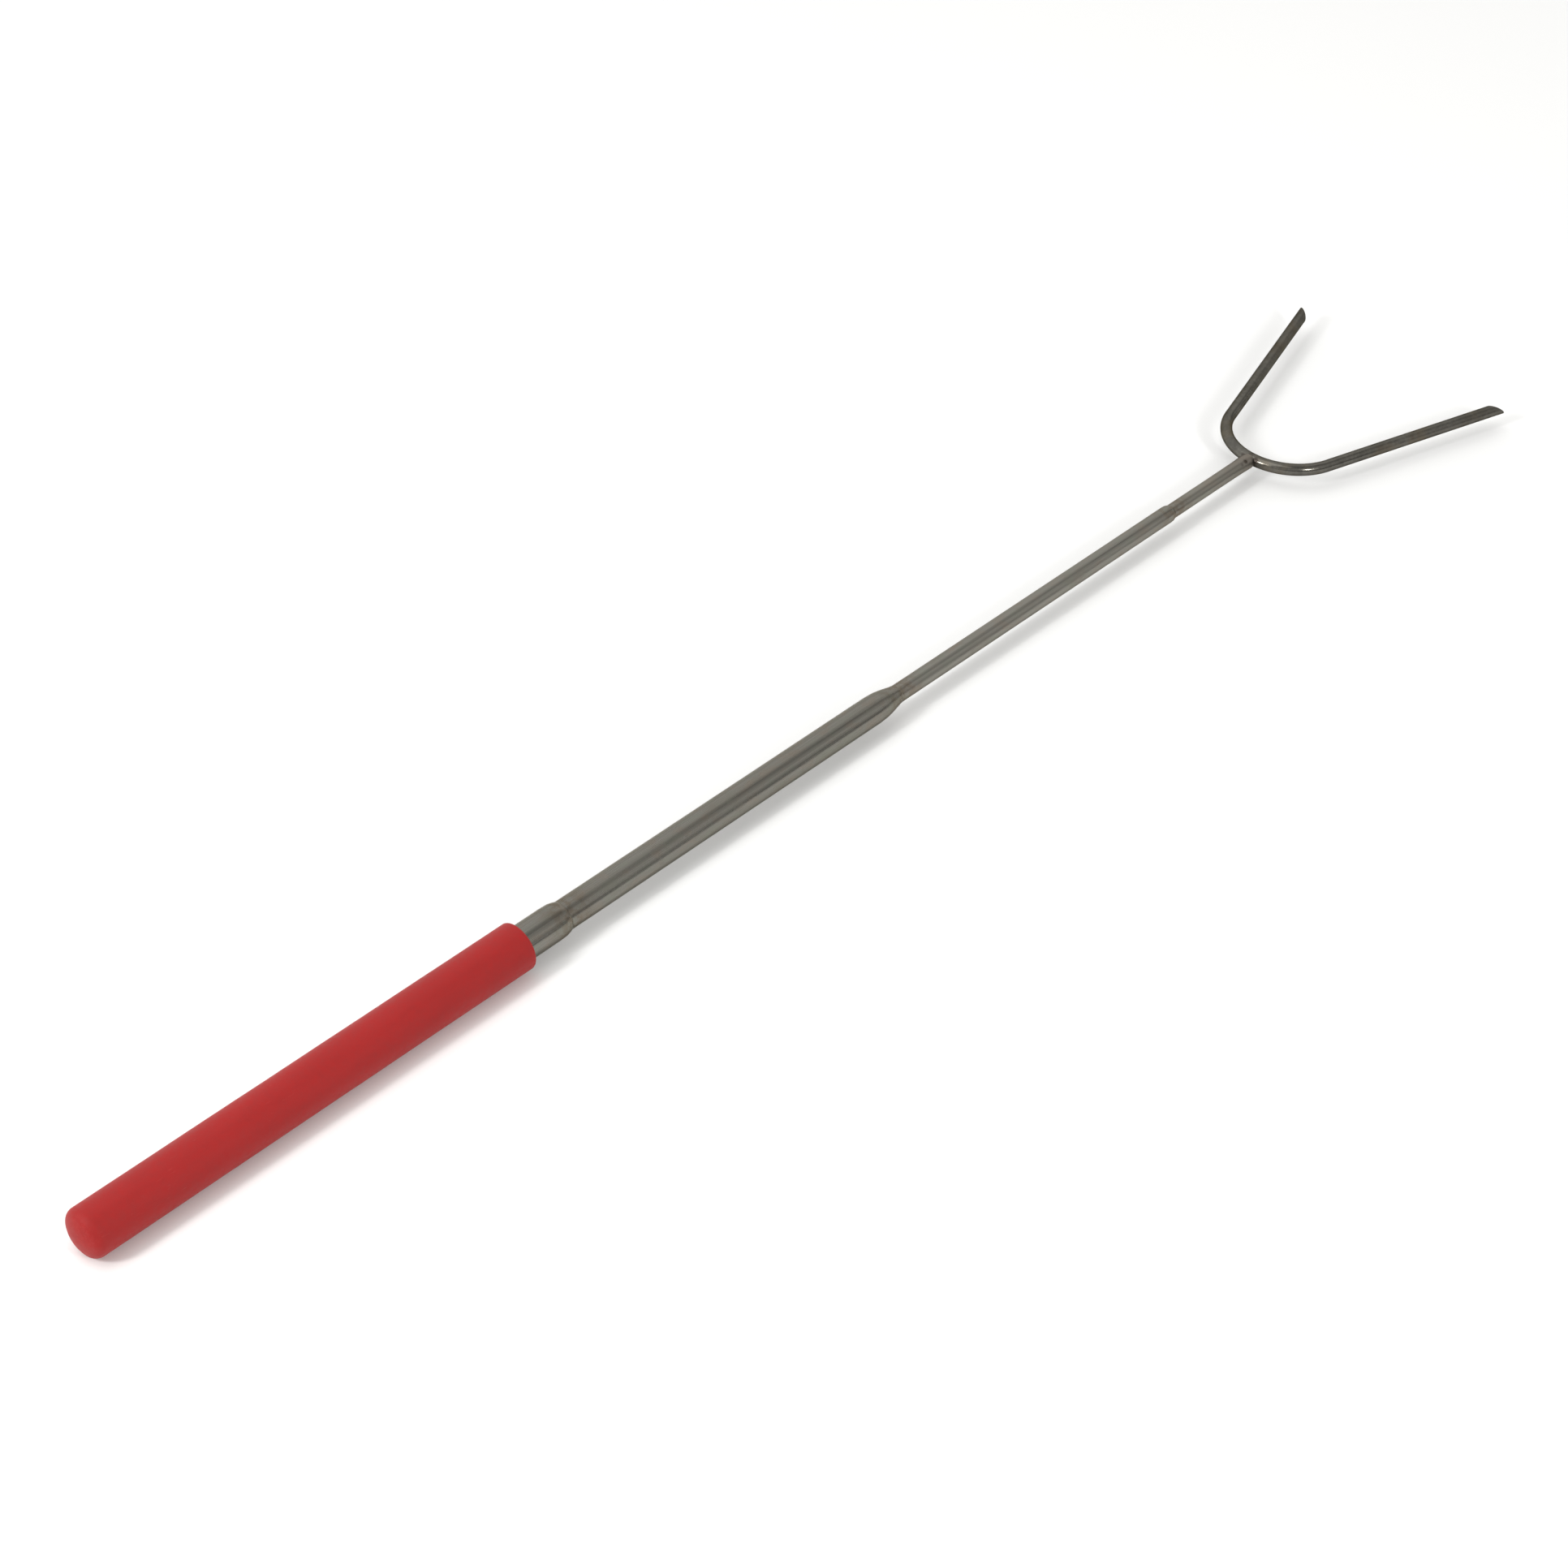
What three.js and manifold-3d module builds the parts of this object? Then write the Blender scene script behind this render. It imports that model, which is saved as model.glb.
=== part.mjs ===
// Telescoping marshmallow roasting fork.
// Millimetres. The tool axis is +X, from the grip's butt towards the prongs.
// The fork's two prongs lie in the XY plane, +Z is up. The origin is the
// centre of the small flat on the grip's butt.
import * as THREE from 'three';
import { mergeVertices } from 'three/addons/utils/BufferGeometryUtils.js';
import Module from 'manifold-3d';

const wasm = await Module();
wasm.setup();

// ---------------------------------------------------------------- dimensions
// grip: closed sleeve of soft vinyl
const GRIP_R = 10.0;            // outside radius, measured to the flats
const GRIP_END = 205.0;         // front lip
const GRIP_BORE_R = 7.6;
const GRIP_BORE_START = 5.2;
const BUTT_FLAT_R = 3.0;
const BUTT_ROUND = 4.0;         // rounding of the butt's edge
const BUTT_CROWN = 0.6;         // how far the butt's middle stands out

// first stage: the handle tube
const T1_R = 7.3, T1_BORE = 6.6, T1_START = 6.0, T1_END = 227.3, T1_MOUTH = 6.32;
const PLUG_R = 6.3, PLUG_START = 6.5, PLUG_END = 14.0, PLUG_WALL = 1.0;

// second stage, with a long swaged nose
const T2_R = 6.2, T2_BORE = 5.5, T2_START = 200.0, T2_END = 415.4, T2_MOUTH = 4.05;
// third stage
const T3_R = 3.95, T3_BORE = 3.6, T3_START = 378.0, T3_END = 595.2, T3_MOUTH = 3.4;
// fourth stage, pressed square at its front end to clasp the fork's rod
const T4_R = 3.3, T4_BORE = 2.85, T4_START = 455.0, T4_END = 653.4;
const PRESS_START = 640.0, PRESS_FULL = 648.0;   // where the pressing begins and is complete
const PRESS_HALF_H = 3.6, PRESS_HALF_W = 3.5, PRESS_WALL = 0.5, PRESS_POWER = 2.2;

// friction shims: two half shells of spring strip round each sliding stage
const SHIM_ARC = 168;           // degrees that one half shell covers
const SHIM2 = { ri: 6.28, ro: 6.52, x0: 204.0, x1: 220.4 };
const SHIM3 = { ri: 5.18, ro: 5.42, x0: 382.3, x1: 399.5 };
const SHIM4 = { ri: 3.36, ro: 3.54, x0: 458.5, x1: 474.4 };

// stop rings fixed at the rear end of each sliding stage
const RING2 = { ri: 6.25, ro: 6.50, x0: 200.4, x1: 203.6 };
const RING3 = { ri: 4.00, ro: 5.35, x0: 378.4, x1: 381.6 };
const RING4 = { ri: 3.34, ro: 3.53, x0: 455.4, x1: 458.1 };

// bush that fills the wide gap between the third stage and the second
const BUSH = { ri: 4.0, ro: 5.1, flange: 5.38, x0: 382.0, x1: 401.4, flangeX: 399.9 };

// fork: one bent rod
const ROD_R = 2.75;
const ARC_R = 28.7;             // centre-line radius of the bend
const ARC_BACK = 653.6;         // where the bend's centre line crosses the tool axis
const SPREAD = THREE.MathUtils.degToRad(16.8);   // each prong's angle to the tool axis
const PRONG = 99.4;             // straight length to the far end of the point
const BEVEL = THREE.MathUtils.degToRad(38.5);    // oblique cut of the points
const ROD_GAP = 0.32;

// what locks the fork in the fourth stage
const SLUG_R = 2.5, SLUG_X0 = 634.0, SLUG_X1 = 650.2;
const PIN_R = 1.0, PIN_HOLE_R = 1.3, PIN_X = 646.7, PIN_HALF = 3.8;
const PIN_TILT = THREE.MathUtils.degToRad(34);   // the pin leans from +Z towards -Y

const SEG = 40;                 // facets round the large turned pieces
const SEG_S = 32;               // facets round the small ones

// ---------------------------------------------------------------- materials
const steel = (color, roughness) => new THREE.MeshStandardMaterial({ color, roughness, metalness: 0.95 });
const MAT = {
  grip: new THREE.MeshStandardMaterial({ color: 0xb03030, roughness: 0.72, metalness: 0.0 }),
  tube: steel(0x9a968c, 0.36),
  rod: steel(0x6f6b63, 0.38),
  brass: new THREE.MeshStandardMaterial({ color: 0xb08d57, roughness: 0.35, metalness: 0.9 }),
  plug: new THREE.MeshStandardMaterial({ color: 0x1c1c1e, roughness: 0.6, metalness: 0.0 }),
};

const group = new THREE.Group();
function add(name, geometry, material) {
  const m = new THREE.Mesh(geometry, material);
  m.name = name;
  group.add(m);
  return m;
}

// ---------------------------------------------------------------- helpers
// A turned piece about the X axis. pts is a list of [x, r]; the facets are
// centred on +Z, -Z, +Y and -Y.
function turned(pts, seg = SEG) {
  const g = new THREE.LatheGeometry(pts.map(([x, r]) => new THREE.Vector2(r, x)), seg, Math.PI / seg, Math.PI * 2);
  g.rotateZ(-Math.PI / 2);
  return g;
}
function closed(pts) { return [...pts, pts[0]]; }

function toSolid(geometry) {
  const g = geometry.clone();
  g.deleteAttribute('normal');
  g.deleteAttribute('uv');
  const m = mergeVertices(g, 1e-5);
  const idx = m.index.array, pos = m.attributes.position.array;
  const tri = [];
  for (let i = 0; i < idx.length; i += 3) {
    const a = idx[i], b = idx[i + 1], c = idx[i + 2];
    if (a !== b && b !== c && a !== c) tri.push(a, b, c);
  }
  return new wasm.Manifold(new wasm.Mesh({ numProp: 3, vertProperties: new Float32Array(pos), triVerts: new Uint32Array(tri) }));
}
function toGeometry(solid) {
  const mesh = solid.getMesh();
  const n = mesh.numProp, p = mesh.vertProperties, out = new Float32Array((p.length / n) * 3);
  for (let i = 0, j = 0; i < p.length; i += n, j += 3) { out[j] = p[i]; out[j + 1] = p[i + 1]; out[j + 2] = p[i + 2]; }
  const g = new THREE.BufferGeometry();
  g.setAttribute('position', new THREE.BufferAttribute(out, 3));
  g.setIndex(new THREE.BufferAttribute(new Uint32Array(mesh.triVerts), 1));
  g.computeVertexNormals();
  return g;
}

// A half shell of spring strip, extruded along X. side is +1 (towards +Y) or -1.
function shim({ ri, ro, x0, x1 }, side, seg = 20) {
  const half = THREE.MathUtils.degToRad(SHIM_ARC / 2);
  const mid = side > 0 ? 0 : Math.PI;
  const s = new THREE.Shape();
  s.absarc(0, 0, ro, mid - half, mid + half, false);
  s.absarc(0, 0, ri, mid + half, mid - half, true);
  s.closePath();
  const g = new THREE.ExtrudeGeometry(s, { depth: x1 - x0, steps: 1, bevelEnabled: false, curveSegments: seg });
  // shape x -> Y, shape y -> Z, depth -> X
  g.applyMatrix4(new THREE.Matrix4().set(0, 0, 1, x0, 1, 0, 0, 0, 0, 1, 0, 0, 0, 0, 0, 1));
  return g;
}
const ring = ({ ri, ro, x0, x1 }, seg) => turned(closed([[x0, ri], [x1, ri], [x1, ro], [x0, ro]].reverse()), seg);

// ---------------------------------------------------------------- handle
{
  const k = 1 / Math.cos(Math.PI / SEG);      // so that the flats, not the edges, lie on the radius
  const c = BUTT_CROWN + BUTT_ROUND, rr = GRIP_R - BUTT_ROUND;
  const pts = [[0, 0], [0, BUTT_FLAT_R], [BUTT_CROWN * 0.35, 4.6], [BUTT_CROWN, rr]];
  for (let i = 1; i <= 6; i++) {
    const a = (i / 6) * Math.PI / 2;
    pts.push([c - BUTT_ROUND * Math.cos(a), rr + BUTT_ROUND * Math.sin(a)]);
  }
  pts.push([GRIP_END - 1.2, GRIP_R], [GRIP_END - 0.35, GRIP_R - 0.35], [GRIP_END, GRIP_R - 1.2]);
  const outer = pts.map(([x, r]) => [x, r * k]);
  outer.push([GRIP_END, GRIP_BORE_R], [GRIP_BORE_START, GRIP_BORE_R], [GRIP_BORE_START, 0]);
  add('grip', turned(outer), MAT.grip);
}
add('handle_tube', turned(closed([
  [T1_START, T1_BORE], [T1_START, T1_R], [T1_END - 6.0, T1_R], [T1_END - 3.4, T1_R - 0.06], [T1_END - 1.6, T1_R - 0.25],
  [T1_END - 0.5, T1_R - 0.55], [T1_END, T1_R - 0.86], [T1_END - 0.3, T1_MOUTH], [T1_END - 1.8, T1_MOUTH],
  [T1_END - 3.0, T1_BORE - 0.12], [T1_END - 4.2, T1_BORE],
])), MAT.tube);
add('handle_plug', turned([
  [PLUG_START, 0], [PLUG_START, PLUG_R - 0.5], [PLUG_START + 0.5, PLUG_R], [PLUG_END, PLUG_R],
  [PLUG_END, PLUG_R - PLUG_WALL], [PLUG_START + 1.4, PLUG_R - PLUG_WALL], [PLUG_START + 1.4, 0],
]), MAT.plug);

// ---------------------------------------------------------------- second stage
add('second_tube', turned(closed([
  [T2_START, T2_BORE], [T2_START, T2_R], [220.9, T2_R], [221.3, T2_R + 0.22], [222.1, T2_R + 0.22], [222.5, T2_R],
  [401.0, T2_R], [403.4, T2_R - 0.12], [405.4, T2_R - 0.27], [407.4, T2_R - 0.53], [409.4, T2_R - 0.88],
  [411.4, T2_R - 1.33], [413.4, T2_R - 1.76], [414.8, T2_R - 1.9], [T2_END, T2_R - 1.98], [T2_END - 0.15, T2_MOUTH + 0.03],
  [T2_END - 0.7, T2_MOUTH], [T2_END - 2.4, T2_MOUTH], [411.4, T2_MOUTH + 0.3], [409.6, T2_MOUTH + 0.72],
  [407.6, T2_BORE - 0.36], [405.6, T2_BORE - 0.14], [402.4, T2_BORE],
])), MAT.tube);
add('second_stop_ring', ring(RING2, SEG), MAT.brass);
add('second_shim_left', shim(SHIM2, 1), MAT.brass);
add('second_shim_right', shim(SHIM2, -1), MAT.brass);

// ---------------------------------------------------------------- third stage
add('third_tube', turned(closed([
  [T3_START, T3_BORE], [T3_START, T3_R], [T3_END - 3.0, T3_R], [T3_END - 1.6, T3_R - 0.08], [T3_END - 0.7, T3_R - 0.25],
  [T3_END, T3_R - 0.46], [T3_END - 0.2, T3_MOUTH], [T3_END - 1.6, T3_MOUTH], [T3_END - 3.0, T3_BORE - 0.08],
  [T3_END - 4.0, T3_BORE],
]), SEG_S), MAT.tube);
add('third_stop_ring', ring(RING3, SEG_S), MAT.brass);
add('third_bush', turned(closed([
  [BUSH.x0, BUSH.ri], [BUSH.x0, BUSH.ro], [BUSH.flangeX, BUSH.ro], [BUSH.flangeX, BUSH.flange],
  [BUSH.x1, BUSH.flange], [BUSH.x1, BUSH.ri],
]), SEG_S), MAT.brass);
add('third_shim_left', shim(SHIM3, 1), MAT.brass);
add('third_shim_right', shim(SHIM3, -1), MAT.brass);

// ---------------------------------------------------------------- fork rod
// Centre line: the left prong from its point, the bend, the right prong.
class ForkLine extends THREE.Curve {
  constructor(prong, limit) {
    super();
    this.sweep = Math.PI / 2 - SPREAD;          // half of the bend
    if (limit !== undefined) this.sweep = limit;
    this.prong = prong;
    this.bend = 2 * this.sweep * ARC_R;
    this.total = this.bend + 2 * prong;
  }
  getPoint(t, target = new THREE.Vector3()) {
    const s = t * this.total;
    const cx = ARC_BACK + ARC_R;
    const onArc = (a) => [cx - ARC_R * Math.cos(a), ARC_R * Math.sin(a)];
    if (s < this.prong) {
      const [x, y] = onArc(this.sweep), d = this.prong - s;
      return target.set(x + d * Math.sin(this.sweep), y + d * Math.cos(this.sweep), 0);
    }
    if (s > this.prong + this.bend) {
      const [x, y] = onArc(-this.sweep), d = s - this.prong - this.bend;
      return target.set(x + d * Math.sin(this.sweep), y - d * Math.cos(this.sweep), 0);
    }
    const a = this.sweep - (s - this.prong) / ARC_R;
    const [x, y] = onArc(a);
    return target.set(x, y, 0);
  }
}
function circleShape(r, seg) {
  const s = new THREE.Shape();
  for (let i = 0; i < seg; i++) {
    const a = (i + 0.5) * 2 * Math.PI / seg;
    if (i === 0) s.moveTo(r * Math.cos(a), r * Math.sin(a)); else s.lineTo(r * Math.cos(a), r * Math.sin(a));
  }
  s.closePath();
  return s;
}
function swept(curve, r, seg, steps) {
  return new THREE.ExtrudeGeometry(circleShape(r, seg), { steps, extrudePath: curve, bevelEnabled: false });
}
const rodLine = new ForkLine(PRONG);
let rod = toSolid(swept(rodLine, ROD_R, 16, 72));
for (const side of [1, -1]) {
  // oblique cut: the point stays on the outer side of each prong
  const a = Math.PI / 2 - SPREAD;
  const dir = new THREE.Vector3(Math.sin(a), side * Math.cos(a), 0);
  const out = new THREE.Vector3(-dir.y, dir.x, 0).multiplyScalar(side);   // away from the other prong
  const tip = rodLine.getPoint(side > 0 ? 0 : 1).clone().addScaledVector(out, ROD_R);
  const len = 14;
  const cut = new THREE.BoxGeometry(len, len, len);
  // the cutting face passes through the tip and leans back towards the inner side
  const n = dir.clone().multiplyScalar(Math.sin(BEVEL)).addScaledVector(out, -Math.cos(BEVEL)).normalize();
  const tang = new THREE.Vector3(0, 0, 1).cross(n).normalize();
  const basis = new THREE.Matrix4().makeBasis(n, tang, new THREE.Vector3(0, 0, 1));
  cut.applyMatrix4(basis);
  const centre = tip.clone().addScaledVector(n, len / 2);
  cut.translate(centre.x, centre.y, centre.z);
  rod = rod.subtract(toSolid(cut));
}
add('fork_rod', toGeometry(rod), MAT.rod);

// ---------------------------------------------------------------- fourth stage
{
  const xs = [[PRESS_START, 0], [PRESS_START + 2, 0.16], [PRESS_START + 4, 0.5], [PRESS_START + 6, 0.84], [PRESS_FULL, 1], [T4_END, 1]];
  const outer = [[T4_START, T4_R], [474.7, T4_R], [475.0, T4_R + 0.18], [475.9, T4_R + 0.18], [476.2, T4_R]];
  const prof = [[T4_START, T4_BORE], ...outer, ...xs.map(([x]) => [x, T4_R]), ...[...xs].reverse().map(([x]) => [x, T4_BORE])];
  const g = turned(closed(prof), SEG_S);
  // press the front end: the round section becomes a rounded square
  const p = g.attributes.position;
  for (let i = 0; i < p.count; i++) {
    const x = p.getX(i);
    if (x <= PRESS_START) continue;
    const k = xs.reduce((acc, [xx, kk]) => (Math.abs(xx - x) < 1e-3 ? kk : acc), 0);
    const y = p.getY(i), z = p.getZ(i), r = Math.hypot(y, z);
    const inner = r < (T4_R + T4_BORE) / 2;
    const off = inner ? PRESS_WALL : 0;
    const h = THREE.MathUtils.lerp(inner ? T4_BORE : T4_R, PRESS_HALF_H - off, k);
    const w = THREE.MathUtils.lerp(inner ? T4_BORE : T4_R, PRESS_HALF_W - off, k);
    const e = THREE.MathUtils.lerp(2, PRESS_POWER, k);
    const c = Math.abs(y / r), s = Math.abs(z / r);
    const rr = 1 / Math.pow(Math.pow(c / w, e) + Math.pow(s / h, e), 1 / e);
    p.setY(i, rr * y / r);
    p.setZ(i, rr * z / r);
  }
  let tube = toSolid(g);
  tube = tube.subtract(toSolid(swept(new ForkLine(0, THREE.MathUtils.degToRad(16)), ROD_R + ROD_GAP, 24, 12)));
  const hole = new THREE.CylinderGeometry(PIN_HOLE_R, PIN_HOLE_R, 20, 20);
  hole.rotateX(Math.PI / 2 + PIN_TILT);
  hole.translate(PIN_X, 0, 0);
  tube = tube.subtract(toSolid(hole));
  add('fourth_tube', toGeometry(tube), MAT.tube);

  let slug = toSolid(turned([[SLUG_X0, 0], [SLUG_X0, SLUG_R - 0.4], [SLUG_X0 + 0.4, SLUG_R], [SLUG_X1, SLUG_R], [SLUG_X1, 0]], 24));
  slug = slug.subtract(toSolid(hole));
  add('fork_slug', toGeometry(slug), MAT.rod);

  const pin = new THREE.CylinderGeometry(PIN_R, PIN_R, 2 * PIN_HALF, 20);
  pin.rotateX(Math.PI / 2 + PIN_TILT);
  pin.translate(PIN_X, 0, 0);
  add('fork_pin', pin, MAT.rod);
}
add('fourth_stop_ring', ring(RING4, SEG_S), MAT.brass);
add('fourth_shim_left', shim(SHIM4, 1, 16), MAT.brass);
add('fourth_shim_right', shim(SHIM4, -1, 16), MAT.brass);

export default group;
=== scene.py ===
import bpy
import bmesh
import math
from mathutils import Matrix, Vector, noise


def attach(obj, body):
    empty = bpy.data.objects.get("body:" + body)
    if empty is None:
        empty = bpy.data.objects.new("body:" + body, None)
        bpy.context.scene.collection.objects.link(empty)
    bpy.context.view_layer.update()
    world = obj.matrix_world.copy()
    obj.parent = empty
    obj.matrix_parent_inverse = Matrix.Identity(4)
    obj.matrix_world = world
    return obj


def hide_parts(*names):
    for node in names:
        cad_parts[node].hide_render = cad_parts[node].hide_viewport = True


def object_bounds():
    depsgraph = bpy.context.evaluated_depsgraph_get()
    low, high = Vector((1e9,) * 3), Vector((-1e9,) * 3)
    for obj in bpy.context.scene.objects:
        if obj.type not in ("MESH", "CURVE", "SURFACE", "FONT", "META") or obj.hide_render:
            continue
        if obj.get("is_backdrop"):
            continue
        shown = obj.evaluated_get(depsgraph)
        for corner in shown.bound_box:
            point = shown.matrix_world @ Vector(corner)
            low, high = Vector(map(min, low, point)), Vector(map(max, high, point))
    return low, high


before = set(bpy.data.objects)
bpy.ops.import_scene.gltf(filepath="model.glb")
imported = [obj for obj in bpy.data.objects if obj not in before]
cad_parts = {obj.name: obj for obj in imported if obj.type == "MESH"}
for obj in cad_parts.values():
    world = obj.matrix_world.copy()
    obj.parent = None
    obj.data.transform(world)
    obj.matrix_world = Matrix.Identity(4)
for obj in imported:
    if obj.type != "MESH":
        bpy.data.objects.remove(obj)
CAD_LO, CAD_HI = (Vector(v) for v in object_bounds())

MM = 0.001

# --------------------------------------------------------------------------
# sizes, in millimetres, that repeat the design's own
# --------------------------------------------------------------------------
GRIP_R, GRIP_END = 10.0, 205.0
T1_R, T1_BORE, T1_START, T1_END = 7.3, 6.6, 6.0, 227.3
T2_R, T2_BORE, T2_START, T2_END = 6.2, 5.5, 200.0, 415.4
T3_R, T3_BORE, T3_START, T3_END = 3.95, 3.6, 378.0, 595.2
T4_R, T4_BORE, T4_START, T4_END = 3.3, 2.85, 455.0, 653.4
T4_LIP = 652.0                  # where the mouth of the fourth tube lies on the rod
ROD_R, ARC_R, ARC_BACK = 2.75, 28.7, 653.6
SPREAD, PRONG, BEVEL = math.radians(16.8), 99.4, math.radians(38.5)
PIN_X, PIN_TILT = 646.7, math.radians(34.0)


# --------------------------------------------------------------------------
# mesh helpers
# --------------------------------------------------------------------------
def fillet(points, arc_step=0.12):
    """points: list of (x, r) or (x, r, radius). Returns a polyline with rounded corners."""
    out = []
    n = len(points)
    for i, p in enumerate(points):
        rad = p[2] if len(p) > 2 else 0.0
        x, r = p[0], p[1]
        if rad <= 0 or i == 0 or i == n - 1:
            out.append((x, r))
            continue
        a = Vector((points[i - 1][0] - x, points[i - 1][1] - r))
        b = Vector((points[i + 1][0] - x, points[i + 1][1] - r))
        la, lb = a.length, b.length
        if la < 1e-6 or lb < 1e-6:
            out.append((x, r))
            continue
        a /= la
        b /= lb
        ang = math.acos(max(-1.0, min(1.0, a.dot(b))))
        if ang > math.pi - 1e-3:
            out.append((x, r))
            continue
        cut = min(rad / math.tan(ang / 2), la * 0.49, lb * 0.49)
        rad = cut * math.tan(ang / 2)
        p0 = Vector((x, r)) + a * cut
        p1 = Vector((x, r)) + b * cut
        mid = (a + b).normalized()
        c = Vector((x, r)) + mid * (rad / math.sin(ang / 2))
        v0, v1 = p0 - c, p1 - c
        turn = math.pi - ang
        k = max(2, min(14, int(rad * turn / arc_step) + 2))
        s = 1 if v0.x * v1.y - v0.y * v1.x > 0 else -1
        for j in range(k + 1):
            t = s * turn * j / k
            out.append((c.x + v0.x * math.cos(t) - v0.y * math.sin(t), c.y + v0.x * math.sin(t) + v0.y * math.cos(t)))
    clean = [out[0]]
    for q in out[1:]:
        if math.hypot(q[0] - clean[-1][0], q[1] - clean[-1][1]) > 1e-4:
            clean.append(q)
    return clean


def split_long(profile, step):
    """Cuts long runs of a profile into shorter ones, so that the surface can be shaped."""
    out = [profile[0]]
    for a, b in zip(profile, profile[1:]):
        d = math.hypot(b[0] - a[0], b[1] - a[1])
        k = max(1, int(math.ceil(d / step)))
        for j in range(1, k + 1):
            t = j / k
            out.append((a[0] + (b[0] - a[0]) * t, a[1] + (b[1] - a[1]) * t))
    return out


def finish_mesh(bm, name, sharp=38.0):
    bmesh.ops.recalc_face_normals(bm, faces=bm.faces)
    me = bpy.data.meshes.new(name)
    bm.to_mesh(me)
    bm.free()
    for p in me.polygons:
        p.use_smooth = True
    me.set_sharp_from_angle(angle=math.radians(sharp))
    ob = bpy.data.objects.new(name, me)
    bpy.context.scene.collection.objects.link(ob)
    return ob


def revolve(name, profile, seg=96, closed=True, shape=None, sharp=38.0):
    """Turns a profile of (x, r) in millimetres about the X axis. shape moves each vertex (in mm)."""
    bm = bmesh.new()
    rings = []
    pts = list(profile)
    if closed and math.hypot(pts[0][0] - pts[-1][0], pts[0][1] - pts[-1][1]) < 1e-6:
        pts = pts[:-1]
    for x, r in pts:
        if r < 1e-6:
            v = Vector((x, 0, 0))
            if shape:
                v = shape(v)
            rings.append([bm.verts.new(v * MM)])
            continue
        ring = []
        for i in range(seg):
            a = 2 * math.pi * i / seg
            v = Vector((x, r * math.sin(a), r * math.cos(a)))
            if shape:
                v = shape(v)
            ring.append(bm.verts.new(v * MM))
        rings.append(ring)
    pairs = list(zip(rings, rings[1:]))
    if closed:
        pairs.append((rings[-1], rings[0]))
    for a, b in pairs:
        if len(a) == 1 and len(b) == 1:
            continue
        for i in range(seg):
            j = (i + 1) % seg
            if len(a) == 1:
                bm.faces.new((a[0], b[j], b[i]))
            elif len(b) == 1:
                bm.faces.new((a[i], a[j], b[0]))
            else:
                bm.faces.new((a[i], a[j], b[j], b[i]))
    return finish_mesh(bm, name, sharp)


def sweep(name, centres, frames, radius, seg=48, caps=True, ring_fn=None, sharp=38.0):
    """A round bar along centres (mm). frames: (u, v) unit vectors at each centre."""
    bm = bmesh.new()
    rings = []
    for k, (c, (u, v)) in enumerate(zip(centres, frames)):
        ring = []
        for i in range(seg):
            a = 2 * math.pi * i / seg
            p = c + (u * math.cos(a) + v * math.sin(a)) * radius
            if ring_fn:
                p = ring_fn(k, a, p)
            ring.append(bm.verts.new(p * MM))
        rings.append(ring)
    for a, b in zip(rings, rings[1:]):
        for i in range(seg):
            j = (i + 1) % seg
            bm.faces.new((a[i], a[j], b[j], b[i]))
    if caps:
        bm.faces.new(rings[0][::-1])
        bm.faces.new(rings[-1])
    return finish_mesh(bm, name, sharp)


def cut_with(ob, cutter):
    """Exact boolean difference, applied; the cutter is removed."""
    m = ob.modifiers.new("cut", "BOOLEAN")
    m.operation = "DIFFERENCE"
    m.solver = "EXACT"
    m.object = cutter
    dg = bpy.context.evaluated_depsgraph_get()
    dg.update()
    me = bpy.data.meshes.new_from_object(ob.evaluated_get(dg))
    ob.modifiers.remove(m)
    old = ob.data
    ob.data = me
    me.name = ob.name
    bpy.data.meshes.remove(old)
    cm = cutter.data
    bpy.data.objects.remove(cutter)
    bpy.data.meshes.remove(cm)
    for p in me.polygons:
        p.use_smooth = True
    me.set_sharp_from_angle(angle=math.radians(34))
    return ob


def smooth01(t):
    t = max(0.0, min(1.0, t))
    return t * t * (3 - 2 * t)


def lerp(a, b, t):
    return a + (b - a) * t


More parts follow.
